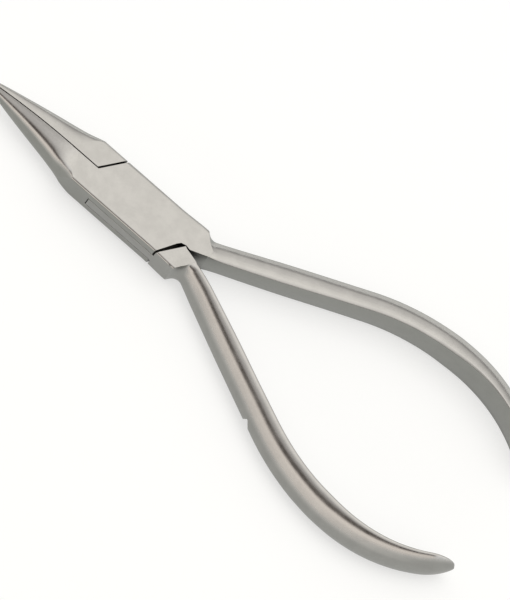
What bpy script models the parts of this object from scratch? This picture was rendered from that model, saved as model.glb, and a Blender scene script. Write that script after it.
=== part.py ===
# Flat nose pliers with a box joint, jaws closed.
# The tongue of one half passes through a slot in the other, on a flush pin.
# Frame: the origin is on the pivot axis at the joint's back face, +X points to the
# jaw tips, +Y to the side of the slotted half's jaw and +Z to the front face.

import math

import bmesh
import bpy
from mathutils import Matrix, Vector

mm = 0.001

# Joint: a slotted plate milled flat on four sides, with slanted shoulders, that flares
# a little towards the handles
joint_width = 11.6 * mm
joint_thickness = 7.4 * mm
joint_edge_chamfer = 0.6 * mm
joint_flare = 0.27 * mm
joint_flare_start = 6.4 * mm
joint_flare_length = 6.6 * mm
shoulder_reach = 9.85 * mm
shoulder_slant = math.radians(34.0)
shoulder_gap = 0.4 * mm
tongue_thickness = 2.8 * mm
tongue_face_clearance = 0.05 * mm
tongue_end_clearance = 0.15 * mm

# Pivot pin, ground flush with both faces
pin_diameter = 4.0 * mm
pin_clearance = 0.05 * mm

# Jaws: a flat gripping face and a domed back; the side tapers straight and the
# front and back faces follow an arc to a blunt tip
jaw_length = 39.3 * mm
jaw_gap = 0.2 * mm
jaw_flats_end = 19.2 * mm
jaw_side_step = 0.15 * mm
jaw_tip_width = 1.22 * mm
jaw_tip_height = 2.4 * mm
jaw_tip_chamfer = 0.2 * mm
jaw_runout_radius = 36.0 * mm

# Handles: an oval bar with a flat inner wall, straight at first, then bent for the palm;
# both sit a little to the side of the slotted half's handle
handle_root_x = 15.55 * mm
handle_side_step = 0.23 * mm
handle_offset = 0.27 * mm
handle_root_width = 4.7 * mm
handle_width = 5.5 * mm
handle_end_width = 2.8 * mm
handle_widening = 20.0 * mm
handle_narrowing_start = 50.0 * mm
handle_root_height = 6.1 * mm
handle_waist_height = 7.4 * mm
palm_height = 9.2 * mm
palm_rise_start = 48.0 * mm
palm_rise_length = 20.0 * mm
handle_flare = math.radians(25.6)
handle_straight = 35.5 * mm
handle_bend_radius = 55.0 * mm
palm_bend_radius = 36.0 * mm
palm_bend = math.radians(44.0)
handle_end_rounding = 6.5 * mm
handle_end_height = 2.4 * mm
handle_runout_radius = 2.4 * mm

# Crotch: the inner walls start out less flared than the handles
crotch_turn = math.radians(10.8)
crotch_end = 1.5 * mm

# Sections: an oval's power and how far past its centre the flat wall cuts it
round_power = 2.0
squarish_power = 2.5
handle_wall_cut = 0.44

# Facets
dome_steps = 18
jaw_steps = 14
runout_steps = 8
straight_steps = 8
flare_steps = 5
bend_steps = 8
palm_steps = 8
end_steps = 6
pin_steps = 64

half_width = joint_width / 2
middle = joint_thickness / 2
bend_length = handle_bend_radius * handle_flare
palm_length = palm_bend_radius * palm_bend
handle_length = handle_straight + bend_length + palm_length
root_lead = handle_runout_radius + handle_root_width / 2
overhang = 2 * mm


def new_collection(name):
    collection = bpy.data.collections.new(name)
    bpy.context.scene.collection.children.link(collection)
    return collection


def steel(name, colour, roughness):
    material = bpy.data.materials.new(name)
    material.use_nodes = True
    shader = material.node_tree.nodes["Principled BSDF"]
    shader.inputs["Base Color"].default_value = (*colour, 1.0)
    shader.inputs["Metallic"].default_value = 1.0
    shader.inputs["Roughness"].default_value = roughness
    return material


def mesh_object(name, bm, collection):
    bmesh.ops.recalc_face_normals(bm, faces=bm.faces)
    mesh = bpy.data.meshes.new(name)
    bm.to_mesh(mesh)
    bm.free()
    mesh.shade_smooth()
    mesh.set_sharp_from_angle(angle=math.radians(30))
    made = bpy.data.objects.new(name, mesh)
    collection.objects.link(made)
    return made


def loft(name, rings, collection):
    bm = bmesh.new()
    loops = [[bm.verts.new(point) for point in ring] for ring in rings]
    for near, far in zip(loops, loops[1:]):
        for i in range(len(near)):
            j = (i + 1) % len(near)
            bm.faces.new((near[i], near[j], far[j], far[i]))
    bm.faces.new(loops[0])
    bm.faces.new(loops[-1])
    return mesh_object(name, bm, collection)


def prism(name, outline, bottom, top, collection):
    bm = bmesh.new()
    face = bm.faces.new([bm.verts.new((x, y, bottom)) for x, y in outline])
    lifted = bmesh.ops.extrude_face_region(bm, geom=[face])["geom"]
    corners = [part for part in lifted if isinstance(part, bmesh.types.BMVert)]
    bmesh.ops.translate(bm, verts=corners, vec=(0, 0, top - bottom))
    return mesh_object(name, bm, collection)


def cylinder(name, diameter, bottom, top, collection):
    bm = bmesh.new()
    bmesh.ops.create_cone(bm, cap_ends=True, segments=pin_steps, radius1=diameter / 2,
                          radius2=diameter / 2, depth=top - bottom,
                          matrix=Matrix.Translation((0, 0, (top + bottom) / 2)))
    return mesh_object(name, bm, collection)


def strip(name, half_reach, turn, bottom, top, collection):
    # A straight channel across the joint, as wide as twice half_reach
    bm = bmesh.new()
    size = Matrix.Diagonal((2 * half_reach, 4 * joint_width, top - bottom, 1))
    place = Matrix.Translation((0, 0, (top + bottom) / 2)) @ Matrix.Rotation(turn, 4, "Z")
    bmesh.ops.create_cube(bm, size=1, matrix=place @ size)
    return mesh_object(name, bm, collection)


def combine(target, other, operation):
    other.hide_render = True
    other.display_type = "WIRE"
    modifier = target.modifiers.new(other.name, "BOOLEAN")
    modifier.operation = operation
    modifier.object = other
    modifier.solver = "EXACT"


def ease(value, start, length):
    share = min(max((value - start) / length, 0.0), 1.0)
    return share * share * (3 - 2 * share)


def runout(distance, radius):
    # Rise of a concave quarter circle at a distance past its tangent point
    reach = min(max(distance, 0.0), radius * 0.999)
    return radius - math.sqrt(radius * radius - reach * reach)


def oval(power, wall_cut):
    # Flat-sided oval as shares of its width and half height, from front to back corner
    turn = math.acos(-wall_cut ** (power / 2))
    points = []
    for i in range(dome_steps + 1):
        angle = turn * (1 - 2 * i / dome_steps)
        across = math.copysign(abs(math.cos(angle)) ** (2 / power), math.cos(angle))
        up = math.copysign(abs(math.sin(angle)) ** (2 / power), angle)
        points.append(((across + wall_cut) / (1 + wall_cut), up))
    return points


def jaw_ring(x, side, inset=0.0):
    tapered = jaw_length - jaw_flats_end
    past = x - jaw_flats_end
    added = runout(-past, jaw_runout_radius)
    root_width = half_width - jaw_side_step
    width = root_width - (root_width - jaw_tip_width) * past / tapered
    drop = (joint_thickness - jaw_tip_height) / 2 * math.copysign((past / tapered) ** 2, past)
    half_height = middle - drop
    width += added - inset
    half_height += added - inset
    power = round_power + (squarish_power - round_power) * ease(abs(past), 0, tapered)
    face = jaw_gap / 2
    return [(x, side * (face + (width - face) * across), middle + half_height * up)
            for across, up in oval(power, 0.0)]


def jaw(name, side, collection):
    start = shoulder_reach / math.cos(shoulder_slant) - jaw_gap
    end = jaw_length - jaw_tip_chamfer
    rings = [jaw_ring(start + (end - start) * i / jaw_steps, side) for i in range(jaw_steps + 1)]
    rings.append(jaw_ring(jaw_length, side, jaw_tip_chamfer))
    return loft(name, rings, collection)


def handle_back(side):
    # How far the handle's outer side stands from the axis where its straight part starts
    return half_width - handle_side_step + side * handle_offset


def handle_path(along, side):
    # Centre of the handle in plan, and the direction across it, away from the other handle
    heading = handle_flare
    across = Vector((math.sin(heading), math.cos(heading)))
    outer = Vector((-handle_root_x, handle_back(side)))
    point = outer - across * handle_root_width / 2
    point += Vector((-math.cos(heading), math.sin(heading))) * min(along, handle_straight)
    left = max(along - handle_straight, 0.0)
    for radius, length in ((handle_bend_radius, bend_length), (palm_bend_radius, palm_length)):
        turned = heading - min(left, length) / radius
        point.x -= radius * (math.sin(heading) - math.sin(turned))
        point.y += radius * (math.cos(turned) - math.cos(heading))
        heading = turned
        left = max(left - length, 0.0)
    return point, Vector((math.sin(heading), math.cos(heading)))


def handle_size(along):
    # Width and height of the handle at a distance along its centre line
    width = handle_root_width + (handle_width - handle_root_width) * ease(along, 0, handle_widening)
    narrowing = max((along - handle_narrowing_start) / (handle_length - handle_narrowing_start), 0.0)
    width -= (handle_width - handle_end_width) * narrowing
    slow_rise = min(max(along / palm_rise_start, 0.0), 1.0)
    height = handle_root_height + (handle_waist_height - handle_root_height) * slow_rise
    height += (palm_height - handle_waist_height) * ease(along, palm_rise_start, palm_rise_length)
    past = max(along - handle_length + handle_end_rounding, 0.0) / handle_end_rounding
    closed = 1 - math.sqrt(1 - past * past)
    height -= (height - handle_end_height) * closed
    width -= width * closed / 2
    return width, height


def handle_inner(along, side):
    # Foot of the handle's inner wall in plan, the direction across and the depth to its back
    point, across = handle_path(along, side)
    width, _ = handle_size(along)
    before = crotch_end - along
    lean = math.tan(crotch_turn) * (before + math.hypot(before, crotch_end)) / 2
    return point - across * (width / 2 - lean), across, width - lean


def handle_ring(along, side):
    inner, across, depth = handle_inner(along, side)
    added = runout(-along, handle_runout_radius)
    half_height = handle_size(along)[1] / 2 + added
    power = squarish_power + (round_power - squarish_power) * ease(along, 0, handle_widening)
    ring = []
    for share, up in oval(power, handle_wall_cut):
        spot = inner + across * (depth + added) * share
        ring.append((spot.x, -side * spot.y, middle + half_height * up))
    return ring


def handle(name, side, collection):
    palm_start = handle_straight + bend_length
    end_start = handle_length - handle_end_rounding
    stops = [-root_lead * (1 - i / runout_steps) for i in range(runout_steps)]
    stops += [handle_straight * i / straight_steps for i in range(straight_steps)]
    stops += [handle_straight + bend_length * i / bend_steps for i in range(bend_steps)]
    stops += [palm_start + (end_start - palm_start) * i / palm_steps for i in range(palm_steps)]
    stops += [end_start + handle_end_rounding * math.sin(math.pi / 2 * i / end_steps)
              for i in range(end_steps + 1)]
    return loft(name, [handle_ring(along, side) for along in stops], collection)


def plate_outline(side, reach):
    # Plan of one half inside the joint, with its ends buried in its jaw and its handle
    slope = math.tan(shoulder_slant)
    corner = reach / math.cos(shoulder_slant)
    edge = half_width + overhang
    foot = corner - edge * slope
    face = jaw_gap / 2
    jaw_end = corner + face * slope + 5 * jaw_gap
    crotch, _, _ = handle_inner(-root_lead, side)
    wall, across, _ = handle_inner(-handle_runout_radius - jaw_gap, side)
    buried = wall + across * overhang / 4
    outer = wall + across * (edge - wall.y) / across.y
    points = [(corner + face * slope, face), (foot, -edge), (outer.x, -outer.y),
              (buried.x, -buried.y), (crotch.x, -crotch.y), (-corner, 0),
              (-foot, edge), (jaw_end, edge), (jaw_end, face)]
    return [(x, side * y) for x, y in points]


def flats_section(flare, spread):
    # Octagon around the joint, from corner to corner, wider by the flare
    cut = joint_edge_chamfer
    section = []
    for y, z in ((1, 1), (-1, 1), (-1, -1), (1, -1)):
        corner = [(y * (half_width + flare - cut) * spread, middle + z * middle * spread),
                  (y * (half_width + flare) * spread, middle + z * (middle - cut) * spread)]
        section += corner[::-1] if y * z > 0 else corner
    return section


def flats_cutter(name, side, collection):
    # Mills the four flats of the joint with chamfered long edges, square to the handle
    bm = bmesh.new()
    loops = []
    for spread in (1, 3):
        ends = [[(-handle_root_x - (handle_back(side) + side * y) * math.tan(handle_flare), y, z)
                 for y, z in flats_section(joint_flare, spread)]]
        for i in range(flare_steps + 1):
            past = joint_flare_length * (1 - i / flare_steps)
            flare = joint_flare * ease(past, 0, joint_flare_length)
            ends.append([(-joint_flare_start - past, y, z) for y, z in flats_section(flare, spread)])
        ends.append([(jaw_flats_end, y, z) for y, z in flats_section(0, spread)])
        loops.append([[bm.verts.new(point) for point in end] for end in ends])
    holes, walls = loops
    for i in range(len(holes[0])):
        j = (i + 1) % len(holes[0])
        for near, far in zip(holes, holes[1:]):
            bm.faces.new((near[i], near[j], far[j], far[i]))
        for near, far in zip(walls, walls[1:]):
            bm.faces.new((near[i], far[i], far[j], near[j]))
        bm.faces.new((holes[0][i], walls[0][i], walls[0][j], holes[0][j]))
        bm.faces.new((holes[-1][i], holes[-1][j], walls[-1][j], walls[-1][i]))
    return mesh_object(name, bm, collection)


def bar(name, side, reach, parts, guides):
    # One forging before its slot or its pockets are cut: jaw, plate and handle
    body = prism(name, plate_outline(side, reach), -overhang, joint_thickness + overhang, parts)
    combine(body, jaw(name + "_jaw", side, guides), "UNION")
    combine(body, handle(name + "_handle", side, guides), "UNION")
    combine(body, flats_cutter(name + "_flats", side, guides), "DIFFERENCE")
    return body


def slotted_half(parts, guides):
    body = bar("slotted_half", 1, shoulder_reach, parts, guides)
    half_slot = tongue_thickness / 2 + tongue_face_clearance
    slot = strip("slot", shoulder_reach, shoulder_slant, middle - half_slot, middle + half_slot, guides)
    combine(body, slot, "DIFFERENCE")
    return body


def tongue_half(parts, guides):
    body = bar("tongue_half", -1, shoulder_reach - tongue_end_clearance, parts, guides)
    reach = shoulder_reach + shoulder_gap
    top = joint_thickness + overhang
    half_tongue = tongue_thickness / 2
    front = strip("front_pocket", reach, -shoulder_slant, middle + half_tongue, top, guides)
    back = strip("back_pocket", reach, -shoulder_slant, -overhang, middle - half_tongue, guides)
    combine(body, front, "DIFFERENCE")
    combine(body, back, "DIFFERENCE")
    return body


def build():
    for old in list(bpy.data.objects):
        bpy.data.objects.remove(old, do_unlink=True)
    parts = new_collection("flat_nose_pliers")
    guides = new_collection("cutters")
    halves = [slotted_half(parts, guides), tongue_half(parts, guides)]
    for half in halves:
        bore = cylinder(half.name + "_bore", pin_diameter + 2 * pin_clearance,
                        -overhang, joint_thickness + overhang, guides)
        combine(half, bore, "DIFFERENCE")
    pin = cylinder("pivot_pin", pin_diameter, 0, joint_thickness, parts)
    colours = {"slotted_half": (0.60, 0.59, 0.57), "tongue_half": (0.59, 0.58, 0.56),
               "pivot_pin": (0.62, 0.61, 0.59)}
    for piece in halves + [pin]:
        piece.data.materials.append(steel(piece.name + "_steel", colours[piece.name], 0.32))


build()
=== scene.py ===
# Flat nose pliers with a box joint, lying flat with the jaws closed: two steel halves
# on a flush pin, a pale floor, a light tent and the camera.

import math

import bmesh
import bpy
from mathutils import Matrix, Vector
from mathutils.bvhtree import BVHTree


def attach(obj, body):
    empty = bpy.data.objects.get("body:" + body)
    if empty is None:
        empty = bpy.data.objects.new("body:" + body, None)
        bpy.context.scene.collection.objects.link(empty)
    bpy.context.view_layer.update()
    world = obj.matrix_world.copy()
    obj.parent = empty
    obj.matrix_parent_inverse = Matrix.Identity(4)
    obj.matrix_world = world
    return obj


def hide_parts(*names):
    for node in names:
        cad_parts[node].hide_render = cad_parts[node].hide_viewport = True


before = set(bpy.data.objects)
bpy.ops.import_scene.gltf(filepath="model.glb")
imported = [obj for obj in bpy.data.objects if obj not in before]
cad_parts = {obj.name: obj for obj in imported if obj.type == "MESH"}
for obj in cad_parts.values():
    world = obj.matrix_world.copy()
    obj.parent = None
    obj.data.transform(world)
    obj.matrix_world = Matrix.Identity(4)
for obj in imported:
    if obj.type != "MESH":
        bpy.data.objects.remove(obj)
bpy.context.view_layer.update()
mm = 0.001
print("frame loaded")


# Camera

view = {
    "target": Vector((-30.16, -2.56, 3.7)) * mm,  # what the middle of the picture shows
    "turn": math.radians(41.2),                   # tips towards the picture's upper left
    "tilt": math.radians(25.5),                   # leaned over from straight above
    "distance": 1.2,
    "longSide": 124.07 * mm,                      # what the picture's longer side spans
}


def viewAxes():
    turn, tilt = view["turn"], view["tilt"]
    right = Vector((-math.cos(turn), -math.sin(turn) * math.cos(tilt), math.sin(turn) * math.sin(tilt)))
    towards = Vector((0, math.sin(tilt), math.cos(tilt)))
    return right, towards.cross(right), towards


def addCamera():
    right, up, towards = viewAxes()
    data = bpy.data.cameras.new("camera")
    data.sensor_width = 36
    data.lens = data.sensor_width * view["distance"] / view["longSide"]
    data.clip_start, data.clip_end = 0.05, 50
    camera = bpy.data.objects.new("camera", data)
    camera.matrix_world = Matrix((right, up, towards)).transposed().to_4x4()
    camera.location = view["target"] + towards * view["distance"]
    bpy.context.scene.collection.objects.link(camera)
    bpy.context.scene.camera = camera


addCamera()
bpy.context.scene.view_settings.view_transform = "Standard"
print("camera set")


# Shared mesh work

def addObject(name, bm):
    bmesh.ops.recalc_face_normals(bm, faces=bm.faces)
    mesh = bpy.data.meshes.new(name)
    bm.to_mesh(mesh)
    bm.free()
    made = bpy.data.objects.new(name, mesh)
    bpy.context.scene.collection.objects.link(made)
    return made


def tube(name, rings):
    # A grid wrapped round the rings, closed along its seam and at both ends
    bm = bmesh.new()
    lengthwise, around = len(rings) - 1, len(rings[0])
    bmesh.ops.create_grid(bm, x_segments=lengthwise, y_segments=around, size=0.5)
    for vert in bm.verts:
        station = round((vert.co.x + 0.5) * lengthwise)
        spot = round((vert.co.y + 0.5) * around) % around
        vert.co = rings[station][spot]
    bmesh.ops.remove_doubles(bm, verts=bm.verts, dist=1e-8)
    bmesh.ops.holes_fill(bm, edges=bm.edges, sides=0)
    return addObject(name, bm)


def slab(name, outline, bottom, top):
    bm = bmesh.new()
    rim = [bm.verts.new((x, y, bottom)) for x, y in outline]
    edges = [bm.edges.new(pair) for pair in zip(rim, rim[1:] + rim[:1])]
    bmesh.ops.contextual_create(bm, geom=edges)
    lifted = bmesh.ops.extrude_face_region(bm, geom=bm.faces[:])["geom"]
    corners = [part for part in lifted if isinstance(part, bmesh.types.BMVert)]
    bmesh.ops.translate(bm, verts=corners, vec=(0, 0, top - bottom))
    return addObject(name, bm)


def block(name, size, matrix):
    bm = bmesh.new()
    bmesh.ops.create_cube(bm, size=1, matrix=matrix @ Matrix.Diagonal((*size, 1)))
    return addObject(name, bm)


def rod(name, radius, bottom, top, steps):
    bm = bmesh.new()
    bmesh.ops.create_cone(bm, cap_ends=True, segments=steps, radius1=radius, radius2=radius,
                          depth=top - bottom, matrix=Matrix.Translation((0, 0, (bottom + top) / 2)))
    return addObject(name, bm)


def combine(target, other, operation):
    modifier = target.modifiers.new(other.name, "BOOLEAN")
    modifier.operation = operation
    modifier.object = other
    modifier.solver = "EXACT"


def settle(target, helpers):
    # Applies the modifiers and clears the shapes that they used
    depsgraph = bpy.context.evaluated_depsgraph_get()
    mesh = bpy.data.meshes.new_from_object(target.evaluated_get(depsgraph))
    target.modifiers.clear()
    target.data = mesh
    for helper in helpers:
        bpy.data.objects.remove(helper, do_unlink=True)


def ease(value, start, length):
    share = min(max((value - start) / length, 0.0), 1.0)
    return share * share * (3 - 2 * share)


def runout(distance, radius):
    # Rise of a concave quarter circle at a distance past its tangent point
    reach = min(max(distance, 0.0), radius * 0.999)
    return radius - math.sqrt(radius * radius - reach * reach)


def lookUp(table, at):
    at = max(at, table[0][0])
    for (x0, y0), (x1, y1) in zip(table, table[1:]):
        if at <= x1:
            return y0 + (y1 - y0) * (at - x0) / (x1 - x0)
    return table[-1][1]


def drawn(turns, steps):
    # Curve that starts level and is given by its downward slope in degrees along the way
    points = [Vector((0, 0))]
    for i in range(steps):
        slope = math.radians(lookUp(turns, (i + 0.5) / steps))
        points.append(points[-1] + Vector((math.cos(slope), -math.sin(slope))) / steps)
    return points


def section(top, flank, ridge, width, halfHeight, steps):
    # Half a section from the inner edge to the outermost point: the top as far as the
    # ridge, then the flank that falls away from it
    level = drawn(top, steps["top"])
    grow = ridge / level[-1].x
    crown = max(point.y for point in level)
    half = [Vector((point.x * grow, halfHeight + (point.y - crown) * grow)) for point in level]
    fall = drawn(flank, steps["flank"])
    wide, high = (width - ridge) / fall[-1].x, half[-1].y / -fall[-1].y
    edge = half[-1].copy()
    half += [Vector((edge.x + point.x * wide, edge.y + point.y * high)) for point in fall[1:]]
    return half


def closedSection(half):
    return half + [Vector((point.x, -point.y)) for point in half[-2::-1]]


def roundSection(turns, width, halfHeight, drop, over, under, power=0.8):
    # Drawn by its slopes over the top to the outermost point, then a plain oval underneath
    curve = drawn(turns, over)
    crown = max(point.y for point in curve)
    wide, high = width / curve[-1].x, (halfHeight + drop) / (crown - curve[-1].y)
    ring = [Vector((point.x * wide, halfHeight + (point.y - crown) * high)) for point in curve]
    for i in range(under):
        angle = math.pi / 2 * (i + 1) / under
        ring.append(Vector((width * max(math.cos(angle), 0.0) ** power,
                            -drop - (halfHeight - drop) * math.sin(angle) ** power)))
    return ring


# Joint

joint = {
    "halfWidth": 5.8 * mm,
    "thickness": 7.4 * mm,
    "edgeRadius": 0.75 * mm,      # of the four long edges
    "edgeSteps": 6,
    "flare": 0.27 * mm,           # how much wider the plate grows towards the handles
    "flareStart": 6.4 * mm,
    "flareLength": 6.6 * mm,
    "flareSteps": 12,
    "shoulderReach": 9.85 * mm,
    "shoulderSlant": math.radians(34),
    "shoulderGap": 0.4 * mm,
    # plan of the slotted half's rear shoulder in millimetres, from the crotch outwards
    "bay": ((-12.1, 0.15), (-10.98, 0.48), (-10.4, 1.25), (-6.95, 7.8)),
    "tongueThickness": 2.6 * mm,
    "tongueSlant": math.radians(22.6),
    "slotHeight": 3.0 * mm,
    "endClearance": 0.15 * mm,
    "pinRadius": 2 * mm,
    "pinClearance": 0.003 * mm,
    "pinSteps": 96,
    "overhang": 2 * mm,           # of the cutting shapes
}
middle = joint["thickness"] / 2

# Jaws

jaw = {
    "length": 39.3 * mm,
    "gap": 0.2 * mm,
    "flatsEnd": 19.2 * mm,
    "tipHeight": 2.4 * mm,
    "tipChamfer": 0.2 * mm,
    "runoutRadius": 36 * mm,
    "rootWidth": {1: 5.65 * mm, -1: 5.5 * mm},
    "tipWidth": 1.22 * mm,
    # slopes of a section from the jaw's face to its outermost point, the first of them
    # growing out of the joint's flat along the jaw
    "stops": (0, 0.15, 0.3, 0.45, 0.6, 0.7, 0.8, 0.9, 1),
    "slopes": {1: (28, 25, 26, 36, 49, 61, 70, 75, 86), -1: (0, 2, 11, 27, 40, 54, 70, 79, 89)},
    "growing": 4,
    "growStart": 14.5 * mm,
    "growLength": 7 * mm,
    # how far the outermost point lies below the middle for the height
    "drops": {1: ((14.5, 0), (19, 0.24), (22, 0.3), (25.6, 0.26), (33, 0.16), (39.3, 0.1)),
              -1: ((39.3, 0),)},
    "dropInset": 0.65,            # how far that point moves in for its drop
    "steps": 60,
    "sectionSteps": (48, 28),
}


def jawRing(x, side, inset=0.0):
    past = x - jaw["flatsEnd"]
    share = past / (jaw["length"] - jaw["flatsEnd"])
    added = runout(-past, jaw["runoutRadius"]) - inset
    width = jaw["rootWidth"][side] + (jaw["tipWidth"] - jaw["rootWidth"][side]) * share + added
    lowered = (joint["thickness"] - jaw["tipHeight"]) / 2
    halfHeight = middle - lowered * math.copysign(share ** 2, share) + added
    drop = halfHeight * lookUp(jaw["drops"][side], x / mm)
    width -= jaw["gap"] / 2 + jaw["dropInset"] * drop
    grown = ease(x, jaw["growStart"], jaw["growLength"])
    slopes = [slope * (grown if i < jaw["growing"] else 1) for i, slope in enumerate(jaw["slopes"][side])]
    turns = list(zip(jaw["stops"], slopes))
    ring = roundSection(turns, width, halfHeight, drop, *jaw["sectionSteps"])
    return [(x, side * (jaw["gap"] / 2 + point.x), middle + point.y) for point in ring]


def addJaw(name, side):
    start = joint["shoulderReach"] / math.cos(joint["shoulderSlant"]) - jaw["gap"]
    end = jaw["length"] - jaw["tipChamfer"]
    rings = [jawRing(start + (end - start) * i / jaw["steps"], side) for i in range(jaw["steps"] + 1)]
    rings.append(jawRing(jaw["length"], side, jaw["tipChamfer"]))
    return tube(name, rings)


# Handles

handle = {
    "rootX": 15.55 * mm,           # where its outer edge starts behind the pin
    "sideStep": 0.23 * mm,         # how far that start lies inside the plate's edge
    "offset": 0.27 * mm,           # the same, more on one half and less on the other
    "rootWidth": 4.7 * mm,
    "width": 5.3 * mm,
    "endWidth": 2.8 * mm,
    "widening": 20 * mm,
    "narrowingStart": 56 * mm,
    "rootHeight": {1: 6.6 * mm, -1: 7.2 * mm},
    "waistHeight": 8.0 * mm,
    "palmHeight": 9.2 * mm,
    "palmRiseStart": 48 * mm,
    "palmRiseLength": 20 * mm,
    "flare": math.radians(25.6),   # away from the tool's middle line
    "straight": 35.5 * mm,
    "bendRadius": 55 * mm,
    "palmBendRadius": {1: 36 * mm, -1: 34.6 * mm},
    "palmLength": 27.62 * mm,
    "endRounding": 6.5 * mm,
    "endPower": 0.7,               # 0.5 would close it as an ellipse
    "endHeight": 1.2 * mm,
    "endNarrowing": 0.75,
    "runoutRadius": 2.4 * mm,
    "runoutStart": 0.6 * mm,
    # start and radius of the top's runout into the joint
    "rise": {1: (3.5 * mm, 14 * mm), -1: (-0.8 * mm, 0.9 * mm)},
    # extra turn of the inner wall up to where the handles part
    "crotchTurn": {1: math.radians(3), -1: math.radians(10.8)},
    "crotchEnd": 1.5 * mm,
    # how far the inner wall steps back along the handle, in millimetres
    "relief": {1: ((8, -0.25), (28, 0), (90, 0)),
               -1: ((1, 0.5), (5, 0.33), (27, 0.2), (38, 0), (90, 0))},
    # slotted half: slopes of a section across its top and down its flank, and how far the
    # flank spreads for its height, at two places along the handle
    "topStops": (0, 0.12, 0.3, 0.6, 1),
    "flankStops": (0, 0.2, 0.4, 0.6, 0.8, 1),
    "sections": ((49 * mm, (-32, -22, -5, 12, 20), (33, 44, 45, 80, 83, 90), 0.63),
                 (69 * mm, (-24, -45, 6, 14, 22), (26, 36, 40, 76, 85, 90), 0.62)),
    # tongue half: slopes from the inner edge to the outermost point, and how far that
    # point lies below the middle for the height, along the handle
    "round": ((0, -60), (0.06, 5), (0.15, 30), (0.3, 40), (0.45, 49), (0.6, 52), (0.75, 62),
              (0.88, 72), (1, 88)),
    "drops": ((-1 * mm, 0.12), (5 * mm, 0.38), (50 * mm, 0.41), (65 * mm, 0.22)),
    "roundSteps": (60, 44),
    "slim": {1: 0.025, -1: 0.13},  # how much narrower the handle is than its plan
    "slimLength": 3 * mm,
    "rootPower": 4,                # of the oval at the root, cut off by its inner wall
    "wallCut": 0.44,
    # start, radius and depth of the cove between the root's section and the handle's own
    "cove": {1: (1.2 * mm, 3.2 * mm, 1.8 * mm), -1: (0.46 * mm, 2.4 * mm, 1.6 * mm)},
    "nick": Vector((-45.1, 18.37, 2.5)) * mm,  # its innermost corner
    "nickSize": (2 * mm, 2.4 * mm, 14 * mm),
    "rootEnd": 2 * mm,             # as far as the finer rings go
    "rootSteps": 30,
    "steps": 140,
    "endSteps": 16,
    "sectionSteps": {"top": 18, "flank": 34},
}
bendLength = handle["bendRadius"] * handle["flare"]
handleLength = handle["straight"] + bendLength + handle["palmLength"]
rootLead = handle["runoutRadius"] + handle["rootWidth"] / 2


def handleBack(side):
    return joint["halfWidth"] - handle["sideStep"] + side * handle["offset"]


def handlePath(along, side):
    # Centre of the handle in plan, and the direction across it, away from the other handle
    heading = handle["flare"]
    across = Vector((math.sin(heading), math.cos(heading)))
    point = Vector((-handle["rootX"], handleBack(side))) - across * handle["rootWidth"] / 2
    point += Vector((-math.cos(heading), math.sin(heading))) * min(along, handle["straight"])
    left = max(along - handle["straight"], 0.0)
    for radius, length in ((handle["bendRadius"], bendLength),
                           (handle["palmBendRadius"][side], handle["palmLength"])):
        turned = heading - min(left, length) / radius
        point.x -= radius * (math.sin(heading) - math.sin(turned))
        point.y += radius * (math.cos(turned) - math.cos(heading))
        heading = turned
        left = max(left - length, 0.0)
    return point, Vector((math.sin(heading), math.cos(heading)))


def handleSize(along, side):
    widened = ease(along, 0, handle["widening"])
    width = handle["rootWidth"] + (handle["width"] - handle["rootWidth"]) * widened
    start = handle["narrowingStart"]
    width -= (handle["width"] - handle["endWidth"]) * max((along - start) / (handleLength - start), 0.0)
    slowRise = min(max(along / handle["palmRiseStart"], 0.0), 1.0)
    root = handle["rootHeight"][side]
    height = root + (handle["waistHeight"] - root) * slowRise
    height += (handle["palmHeight"] - handle["waistHeight"]) * ease(along, handle["palmRiseStart"],
                                                                    handle["palmRiseLength"])
    past = max(along - handleLength + handle["endRounding"], 0.0) / handle["endRounding"]
    closed = 1 - max(1 - past * past, 0.0) ** handle["endPower"]
    height -= (height - handle["endHeight"]) * closed
    width -= width * closed * handle["endNarrowing"]
    return width, height


def handleInner(along, side):
    # Foot of the inner wall in plan, the direction across and the depth to the back
    point, across = handlePath(along, side)
    before = handle["crotchEnd"] - along
    lean = math.tan(handle["crotchTurn"][side]) * (before + math.hypot(before, handle["crotchEnd"])) / 2
    lean += lookUp(handle["relief"][side], along / mm) * mm
    width = handleSize(along, side)[0]
    slim = 1 - handle["slim"][side] * ease(along, -handle["runoutRadius"], handle["slimLength"])
    return point - across * (width / 2 - lean), across, (width - lean) * slim


def rootSection(width, halfHeight, count):
    # Half an oval with a flat inner wall
    turn = math.acos(-handle["wallCut"] ** (handle["rootPower"] / 2))
    points = []
    for i in range(count):
        angle = turn * (1 - i / (count - 1))
        across = math.copysign(abs(math.cos(angle)) ** (2 / handle["rootPower"]), math.cos(angle))
        share = (across + handle["wallCut"]) / (1 + handle["wallCut"])
        points.append(Vector((width * share, halfHeight * math.sin(angle) ** (2 / handle["rootPower"]))))
    return points


def ridgedSection(along, width, halfHeight):
    (start, *near), (end, *far) = handle["sections"]
    share = min(max((along - start) / (end - start), 0.0), 1.0)
    top, flank = [[(stop, a + (b - a) * share) for stop, a, b in zip(handle[stops], before, after)]
                  for stops, before, after in zip(("topStops", "flankStops"), near, far)]
    ridge = max(width - (near[2] + (far[2] - near[2]) * share) * halfHeight, width * 0.2)
    return closedSection(section(top, flank, ridge, width, halfHeight, handle["sectionSteps"]))


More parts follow.
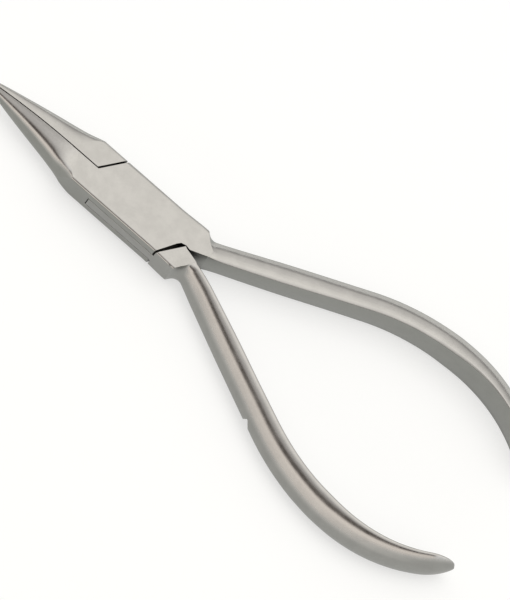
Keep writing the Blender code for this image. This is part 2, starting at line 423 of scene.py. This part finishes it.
def handleRing(along, side):
    inner, across, depth = handleInner(along, side)
    start, radius = handle["rise"][side]
    width = depth + runout(handle["runoutStart"] - along, handle["runoutRadius"])
    halfHeight = handleSize(along, side)[1] / 2 + runout(start - along, radius)
    start, radius, depth = handle["cove"][side]
    grown = 1 - min(runout(start - along, radius) / depth, 1.0)
    if side == 1:
        shaped = ridgedSection(along, width, halfHeight)
    else:
        drop = halfHeight * lookUp(handle["drops"], along)
        shaped = roundSection(handle["round"], width, halfHeight, drop, *handle["roundSteps"])
    plain = closedSection(rootSection(width, halfHeight, (len(shaped) + 1) // 2))
    ring = []
    for before, after in zip(plain, shaped):
        point = before.lerp(after, grown)
        spot = inner + across * point.x
        ring.append((spot.x, -side * spot.y, middle + point.y))
    return ring


def addHandle(name, side):
    endStart = handleLength - handle["endRounding"]
    steps, endSteps = handle["steps"], handle["endSteps"]
    rootSteps, rootEnd = handle["rootSteps"], handle["rootEnd"]
    stops = [-rootLead + (rootEnd + rootLead) * i / rootSteps for i in range(rootSteps)]
    stops += [rootEnd + (endStart - rootEnd) * i / steps for i in range(steps)]
    stops += [endStart + handle["endRounding"] * math.sin(math.pi / 2 * i / endSteps)
              for i in range(endSteps + 1)]
    return tube(name, [handleRing(along, side) for along in stops])


# Halves

def plateOutline(side, reach, slant):
    # Plan of one half inside the joint, with its ends buried in its jaw and its handle
    slope = math.tan(slant)
    corner = reach / math.cos(joint["shoulderSlant"])
    edge = joint["halfWidth"] + joint["overhang"]
    foot = corner - edge * slope
    face = jaw["gap"] / 2
    jawEnd = corner + face * slope + 5 * jaw["gap"]
    crotch = handleInner(-rootLead, side)[0]
    wall, across, _ = handleInner(-handle["runoutRadius"] - jaw["gap"], side)
    buried = wall + across * joint["overhang"] / 4
    outer = wall + across * (edge - wall.y) / across.y
    rear = [(-corner, 0), (-foot, edge)]
    if side == 1:
        rear = [(x * mm, y * mm) for x, y in joint["bay"]]
    points = [(corner + face * slope, face), (foot, -edge), (outer.x, -outer.y),
              (buried.x, -buried.y), (crotch.x, -crotch.y), *rear,
              (jawEnd, edge), (jawEnd, face)]
    return [(x, side * y) for x, y in points]


def flatsRing(x, side, flare, spread, slanted=False):
    # Rounded bar across the joint, wider by the flare, square to the handle where slanted
    high, wide = middle * spread, (joint["halfWidth"] + flare) * spread
    radius = joint["edgeRadius"]
    ring = []
    for y, z, start in ((1, 1, 0), (-1, 1, 1), (-1, -1, 2), (1, -1, 3)):
        for i in range(joint["edgeSteps"] + 1):
            angle = math.pi / 2 * (start + i / joint["edgeSteps"])
            ring.append((y * (wide - radius) + radius * math.cos(angle),
                         z * (high - radius) + radius * math.sin(angle)))
    lean = math.tan(handle["flare"]) if slanted else 0.0
    return [(x - (handleBack(side) + side * y) * lean, y, middle + z) for y, z in ring]


def addFlats(name, side, spread, lap):
    # Bar with the joint's four flats, longer at both ends by the lap
    rings = [flatsRing(-handle["rootX"] - lap, side, joint["flare"], spread, True)]
    for i in range(joint["flareSteps"] + 1):
        past = joint["flareLength"] * (1 - i / joint["flareSteps"])
        flare = joint["flare"] * ease(past, 0, joint["flareLength"])
        rings.append(flatsRing(-joint["flareStart"] - past, side, flare, spread))
    rings.append(flatsRing(jaw["flatsEnd"] + lap, side, 0.0, spread))
    return tube(name, rings)


def channel(name, turn, reach, bottom, top):
    matrix = Matrix.Translation((0, 0, (bottom + top) / 2)) @ Matrix.Rotation(turn, 4, "Z")
    return block(name, (2 * reach, 8 * joint["halfWidth"], top - bottom), matrix)


def addHalf(name, side, reach, slant, cuts):
    top = joint["thickness"] + joint["overhang"]
    body = slab(name, plateOutline(side, reach, slant), -joint["overhang"], top)
    jawPiece, handlePiece = addJaw(name + "Jaw", side), addHandle(name + "Handle", side)
    flats = addFlats(name + "Flats", side, 1, joint["overhang"])
    around = addFlats(name + "Around", side, 3, 0.0)
    combine(around, flats, "DIFFERENCE")
    combine(body, jawPiece, "UNION")
    combine(body, handlePiece, "UNION")
    combine(body, around, "DIFFERENCE")
    for cut in cuts:
        combine(body, cut, "DIFFERENCE")
    settle(body, [jawPiece, handlePiece, flats, around] + cuts)
    return body


def addSlottedHalf():
    # The slot's ends lean less than its shoulders, on the side that the tongue points to
    reach, slant = joint["shoulderReach"], joint["shoulderSlant"]
    corner, edge = reach / math.cos(slant), 4 * joint["halfWidth"]
    near, far = edge * math.tan(joint["tongueSlant"]), edge * math.tan(slant)
    plan = [(corner - near, edge), (corner, 0), (corner + far, -edge),
            (near - corner, -edge), (-corner, 0), (-corner - far, edge)]
    slot = slab("slot", plan, middle - joint["slotHeight"] / 2, middle + joint["slotHeight"] / 2)
    return addHalf("slottedHalf", 1, reach, slant, [slot])


def addNick():
    # Square nick in the outer edge of the tongue half's handle
    right, up, towards = viewAxes()
    matrix = Matrix((right, up, towards)).transposed().to_4x4()
    matrix.translation = handle["nick"] - (right * handle["nickSize"][0] + up * handle["nickSize"][1]) / 2
    return block("nick", handle["nickSize"], matrix)


def addTongueHalf():
    reach = joint["shoulderReach"] + joint["shoulderGap"]
    tongue = joint["tongueThickness"] / 2
    top = joint["thickness"] + joint["overhang"]
    cuts = [channel("frontPocket", -joint["shoulderSlant"], reach, middle + tongue, top),
            channel("backPocket", -joint["shoulderSlant"], reach, -joint["overhang"], middle - tongue)]
    cuts.append(addNick())
    ownReach = joint["shoulderReach"] - joint["endClearance"]
    return addHalf("tongueHalf", -1, ownReach, joint["tongueSlant"], cuts)


def addBore(piece):
    bore = rod("bore", joint["pinRadius"] + joint["pinClearance"], -joint["overhang"],
               joint["thickness"] + joint["overhang"], joint["pinSteps"])
    combine(piece, bore, "DIFFERENCE")
    settle(piece, [bore])


softening = {
    "width": 0.055 * mm,
    "angle": math.radians(28),     # edges that turn more are rounded
    "weld": 0.004 * mm,            # shorter edges are closed before
    "boreMargin": 0.05 * mm,
    "smoothAngle": math.radians(24),
    "flatArea": 0.6 * mm * mm,
}


def softenEdges(piece):
    # Rounds every edge but those of the bore
    bm = bmesh.new()
    bm.from_mesh(piece.data)
    bmesh.ops.remove_doubles(bm, verts=bm.verts, dist=softening["weld"])
    bmesh.ops.dissolve_degenerate(bm, edges=bm.edges, dist=softening["weld"])
    bmesh.ops.recalc_face_normals(bm, faces=bm.faces)
    surface = BVHTree.FromBMesh(bm)
    bored = joint["pinRadius"] + softening["boreMargin"]
    chosen = [edge for edge in bm.edges if edge.calc_face_angle(0.0) > softening["angle"]
              and not all(vertex.co.xy.length < bored for vertex in edge.verts)]
    bmesh.ops.bevel(bm, geom=chosen, offset=softening["width"], offset_type="OFFSET", segments=2,
                    profile=0.5, affect="EDGES", clamp_overlap=False, material=-1)
    # Where short edges threw a corner out, it goes back onto the surface
    for vertex in bm.verts:
        spot, _, _, distance = surface.find_nearest(vertex.co)
        if distance > softening["width"]:
            vertex.co = spot
    bm.to_mesh(piece.data)
    bm.free()


def shade(piece):
    # Smooth where the surface turns softly, flat on the ground faces
    piece.data.shade_smooth()
    piece.data.set_sharp_from_angle(angle=softening["smoothAngle"])
    for face in piece.data.polygons:
        level = abs(face.normal.z) > 0.9999
        if level or (face.area > softening["flatArea"] and len(face.vertices) > 4):
            face.use_smooth = False


slottedHalf = addSlottedHalf()
print("slotted half made")
tongueHalf = addTongueHalf()
print("tongue half made")
pivotPin = rod("pivotPin", joint["pinRadius"], 0, joint["thickness"], joint["pinSteps"])
for piece in (slottedHalf, tongueHalf):
    addBore(piece)
    softenEdges(piece)
for piece in (slottedHalf, tongueHalf, pivotPin):
    shade(piece)
print("edges softened")


# Materials

def newGroup(name, inputs, outputs):
    group = bpy.data.node_groups.new(name, "ShaderNodeTree")
    for socketName, kind, value in inputs:
        socket = group.interface.new_socket(name=socketName, in_out="INPUT", socket_type=kind)
        socket.default_value = value
    for socketName, kind in outputs:
        group.interface.new_socket(name=socketName, in_out="OUTPUT", socket_type=kind)
    return group, group.nodes.new("NodeGroupInput"), group.nodes.new("NodeGroupOutput")


def noise(tree, vector, scale, detail, rough=0.5):
    node = tree.nodes.new("ShaderNodeTexNoise")
    node.inputs["Detail"].default_value = detail
    node.inputs["Roughness"].default_value = rough
    if isinstance(scale, bpy.types.NodeSocket):
        tree.links.new(scale, node.inputs["Scale"])
    else:
        node.inputs["Scale"].default_value = scale
    tree.links.new(vector, node.inputs["Vector"])
    return node.outputs["Fac"]


def ramp(tree, source, low, high, lowTo, highTo):
    node = tree.nodes.new("ShaderNodeMapRange")
    node.interpolation_type = "SMOOTHSTEP"
    limits = (("From Min", low), ("From Max", high), ("To Min", lowTo), ("To Max", highTo))
    for socketName, value in limits:
        node.inputs[socketName].default_value = value
    tree.links.new(source, node.inputs["Value"])
    return node.outputs["Result"]


def math2(tree, operation, first, second):
    node = tree.nodes.new("ShaderNodeMath")
    node.operation = operation
    for socket, value in zip(node.inputs, (first, second)):
        if isinstance(value, bpy.types.NodeSocket):
            tree.links.new(value, socket)
        else:
            socket.default_value = value
    return node.outputs[0]


def mixColour(tree, factor, first, second, blend="MIX"):
    node = tree.nodes.new("ShaderNodeMix")
    node.data_type = "RGBA"
    node.blend_type = blend
    for socket, value in zip((node.inputs["Factor"], *node.inputs[6:8]), (factor, first, second)):
        if isinstance(value, bpy.types.NodeSocket):
            tree.links.new(value, socket)
        else:
            socket.default_value = value
    return node.outputs[2]


def makeSteelFinishAndShade():
    # Satin steel: fine grain, faint clouds, streaks along the tool, rougher walls painted darker as
    # shade, and painted shade in nooks
    group, given, out = newGroup("steelFinishAndShade", (
        ("Bright", "NodeSocketColor", (0.66, 0.64, 0.61, 1)),
        ("Wall Shade", "NodeSocketColor", (0.30, 0.30, 0.285, 1)),
        ("Nook Shade", "NodeSocketColor", (0.03, 0.028, 0.026, 1)),
        ("Grain Scale", "NodeSocketFloat", 5000.0),
        ("Cloud Scale", "NodeSocketFloat", 350.0),
    ), (("Color", "NodeSocketColor"), ("Roughness", "NodeSocketFloat"), ("Height", "NodeSocketFloat")))
    where = group.nodes.new("ShaderNodeTexCoord").outputs["Object"]
    facing = group.nodes.new("ShaderNodeSeparateXYZ")
    group.links.new(group.nodes.new("ShaderNodeNewGeometry").outputs["Normal"], facing.inputs[0])
    # Painted shade: the steeper a face, and the more it faces -Y, the darker its base colour; such walls
    # are also made rougher
    flat = math2(group, "ABSOLUTE", facing.outputs["Z"], 0.0)
    flat = math2(group, "ADD", flat, math2(group, "MULTIPLY", facing.outputs["Y"], 0.15))
    wall = ramp(group, flat, 0.52, 0.88, 1.0, 0.0)
    stretch = group.nodes.new("ShaderNodeMapping")
    stretch.inputs["Scale"].default_value = (0.12, 1, 1)
    group.links.new(where, stretch.inputs["Vector"])
    grain = noise(group, where, given.outputs["Grain Scale"], 3)
    cloud = noise(group, where, given.outputs["Cloud Scale"], 4, 0.6)
    streak = noise(group, stretch.outputs[0], 3200, 2)
    # Base colour mixed from the bright steel towards the darker colour painted on the walls as shade
    base = mixColour(group, wall, given.outputs["Bright"], given.outputs["Wall Shade"])
    tone = math2(group, "ADD", ramp(group, cloud, 0.3, 0.7, 0.95, 1.03),
                 ramp(group, grain, 0.25, 0.75, -0.03, 0.03))
    clean = mixColour(group, 1.0, base, tone, "MULTIPLY")
    # Painted shade: the colour turns nearly black where other surfaces hem it in within 4 mm, as in the
    # crotch and the joint's gaps
    nook = group.nodes.new("ShaderNodeAmbientOcclusion")
    nook.samples = 8
    nook.inputs["Distance"].default_value = 4 * mm
    nookShade = ramp(group, nook.outputs["AO"], 0.2, 0.66, 0.97, 0.0)
    group.links.new(mixColour(group, nookShade, clean, given.outputs["Nook Shade"]), out.inputs["Color"])
    rough = math2(group, "ADD", ramp(group, cloud, 0.3, 0.7, 0.17, 0.22),
                  math2(group, "MULTIPLY", wall, 0.12))
    group.links.new(rough, out.inputs["Roughness"])
    height = math2(group, "ADD", math2(group, "MULTIPLY", grain, 0.6),
                   math2(group, "MULTIPLY", streak, 0.4))
    group.links.new(height, out.inputs["Height"])
    return group


steelFinishAndShade = makeSteelFinishAndShade()


def steel(name, bright, wallShade, bumpStrength):
    material = bpy.data.materials.new(name)
    material.use_nodes = True
    tree = material.node_tree
    shader = tree.nodes["Principled BSDF"]
    shader.inputs["Metallic"].default_value = 1.0
    finishAndShade = tree.nodes.new("ShaderNodeGroup")
    finishAndShade.node_tree = steelFinishAndShade
    finishAndShade.inputs["Bright"].default_value = (*bright, 1)
    # Darker colour that the walls are painted with as shade
    finishAndShade.inputs["Wall Shade"].default_value = (*wallShade, 1)
    tree.links.new(finishAndShade.outputs["Color"], shader.inputs["Base Color"])
    tree.links.new(finishAndShade.outputs["Roughness"], shader.inputs["Roughness"])
    bump = tree.nodes.new("ShaderNodeBump")
    bump.inputs["Strength"].default_value = bumpStrength
    bump.inputs["Distance"].default_value = 0.01 * mm
    tree.links.new(finishAndShade.outputs["Height"], bump.inputs["Height"])
    tree.links.new(bump.outputs["Normal"], shader.inputs["Normal"])
    return material


# Each steel: its bright colour, the darker colour painted on its walls as shade, and bump strength
materials = {
    "slottedHalf": steel("slottedHalfSteel", (0.66, 0.645, 0.62), (0.255, 0.258, 0.24), 0.5),
    "tongueHalf": steel("tongueHalfSteel", (0.65, 0.635, 0.61), (0.285, 0.285, 0.27), 0.5),
    "pivotPin": steel("pivotPinSteel", (0.66, 0.645, 0.62), (0.30, 0.30, 0.285), 0.4),
}
dressed = (
    (slottedHalf, "slottedHalf", "slotted_half", "slotted_half", "slotted_half_steel"),
    (tongueHalf, "tongueHalf", "tongue_half", "tongue_half", "tongue_half_steel"),
    (pivotPin, "pivotPin", "slotted_half", "pivot_pin", "pivot_pin_steel"),
)
for piece, finishName, body, node, slotName in dressed:
    piece.data.materials.clear()
    piece.data.materials.append(materials[finishName])
    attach(piece, body)
    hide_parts(node)
print("pieces dressed")


# Studio

studio = {
    "floorHeight": -0.9 * mm,      # under the palms, which are the tallest parts
    "floorSize": 12.0,
    "floorColour": (0.40, 0.40, 0.395),
    "floorGlow": 0.62,
    "skylight": 0.3,               # what the overhead lamp adds on the floor
    "lampSize": 1.2,
    "lampSpot": (-0.03, -0.5, 1.6),
    "tentRadius": 0.9,
    "tentLength": 3.0,
    "tentSteps": 48,
    # angle from straight up towards +Y in degrees, light and its tint
    "tent": (
        (-90, 0.2, (1, 0.98, 0.95)), (-86, 0.2, (1, 0.98, 0.95)), (-82, 0.45, (1, 0.98, 0.95)),
        (-65, 0.62, (1, 0.98, 0.95)), (-50, 0.78, (1, 0.98, 0.95)), (-35, 0.90, (1, 0.98, 0.94)),
        (-25, 0.92, (1, 0.98, 0.94)), (-10, 1.0, (1, 0.98, 0.94)), (5, 0.95, (1, 0.98, 0.95)),
        (20, 0.80, (1, 0.98, 0.95)), (34, 0.62, (1, 0.98, 0.96)), (45, 0.42, (1, 0.96, 0.93)),
        (51, 0.08, (1, 0.85, 0.75)), (62, 0.08, (1, 0.85, 0.75)), (67, 1.15, (1, 0.93, 0.87)),
        (82, 1.1, (1, 0.93, 0.87)), (90, 0.92, (1, 0.97, 0.94)),
    ),
}


def addFloor():
    bm = bmesh.new()
    bmesh.ops.create_grid(bm, x_segments=4, y_segments=4, size=studio["floorSize"] / 2,
                          matrix=Matrix.Translation((0, 0, studio["floorHeight"])))
    floor = addObject("floor", bm)
    material = bpy.data.materials.new("paleFloor")
    material.use_nodes = True
    tree = material.node_tree
    shader = tree.nodes["Principled BSDF"]
    shader.inputs["Base Color"].default_value = (*studio["floorColour"], 1)
    shader.inputs["Roughness"].default_value = 0.9
    shader.inputs["Specular IOR Level"].default_value = 0.0
    shader.inputs["Emission Color"].default_value = (1, 1, 0.99, 1)
    path = tree.nodes.new("ShaderNodeLightPath")
    seen = math2(tree, "MAXIMUM", path.outputs["Is Camera Ray"], path.outputs["Is Glossy Ray"])
    seen = math2(tree, "MAXIMUM", seen, path.outputs["Is Transmission Ray"])
    tree.links.new(math2(tree, "MULTIPLY", seen, studio["floorGlow"]), shader.inputs["Emission Strength"])
    floor.data.materials.append(material)


def addTent():
    # Half a tube of cloth along the tool, lit from outside, that the camera looks through
    bm = bmesh.new()
    half = studio["tentLength"] / 2
    ends = [bm.verts.new((x, studio["tentRadius"], 0)) for x in (-half, half)]
    side = bm.edges.new(ends)
    bmesh.ops.spin(bm, geom=[side] + ends, cent=(0, 0, 0), axis=(1, 0, 0), angle=math.pi,
                   steps=studio["tentSteps"])
    tent = addObject("lightTent", bm)
    material = bpy.data.materials.new("litCloth")
    material.use_nodes = True
    tree = material.node_tree
    tree.nodes.remove(tree.nodes["Principled BSDF"])
    where = tree.nodes.new("ShaderNodeSeparateXYZ")
    tree.links.new(tree.nodes.new("ShaderNodeTexCoord").outputs["Object"], where.inputs[0])
    angle = math2(tree, "ARCTAN2", where.outputs["Y"], where.outputs["Z"])
    share = math2(tree, "ADD", math2(tree, "DIVIDE", angle, math.pi), 0.5)
    cloth = tree.nodes.new("ShaderNodeValToRGB")
    stops = cloth.color_ramp.elements
    while len(stops) > 1:
        stops.remove(stops[-1])
    for i, (degrees, light, tint) in enumerate(studio["tent"]):
        stop = stops[0] if i == 0 else stops.new((degrees + 90) / 180)
        stop.position = (degrees + 90) / 180
        stop.color = (*(light * part for part in tint), 1)
    tree.links.new(share, cloth.inputs["Fac"])
    glow = tree.nodes.new("ShaderNodeEmission")
    tree.links.new(cloth.outputs["Color"], glow.inputs["Color"])
    tree.links.new(glow.outputs[0], tree.nodes["Material Output"].inputs["Surface"])
    tent.data.materials.append(material)
    tent.visible_camera = False
    tent.visible_shadow = False


def addSkylight():
    # Broad lamp overhead that only matt surfaces answer to
    data = bpy.data.lights.new("skylight", "AREA")
    data.shape = "SQUARE"
    data.size = studio["lampSize"]
    x, y, height = studio["lampSpot"]
    data.energy = studio["skylight"] * math.pi * math.pi * height * height
    lamp = bpy.data.objects.new("skylight", data)
    lamp.location = (x, y, height)
    lamp.rotation_euler = Vector((0.0, -y, -height)).to_track_quat("-Z", "Y").to_euler()
    lamp.visible_glossy = False
    lamp.visible_camera = False
    bpy.context.scene.collection.objects.link(lamp)


def setWorld():
    world = bpy.data.worlds.new("studio")
    bpy.context.scene.world = world
    world.use_nodes = True
    world.node_tree.nodes["Background"].inputs["Color"].default_value = (1, 1, 1, 1)
    world.node_tree.nodes["Background"].inputs["Strength"].default_value = 1.0


addFloor()
addTent()
addSkylight()
setWorld()
print("studio lit")
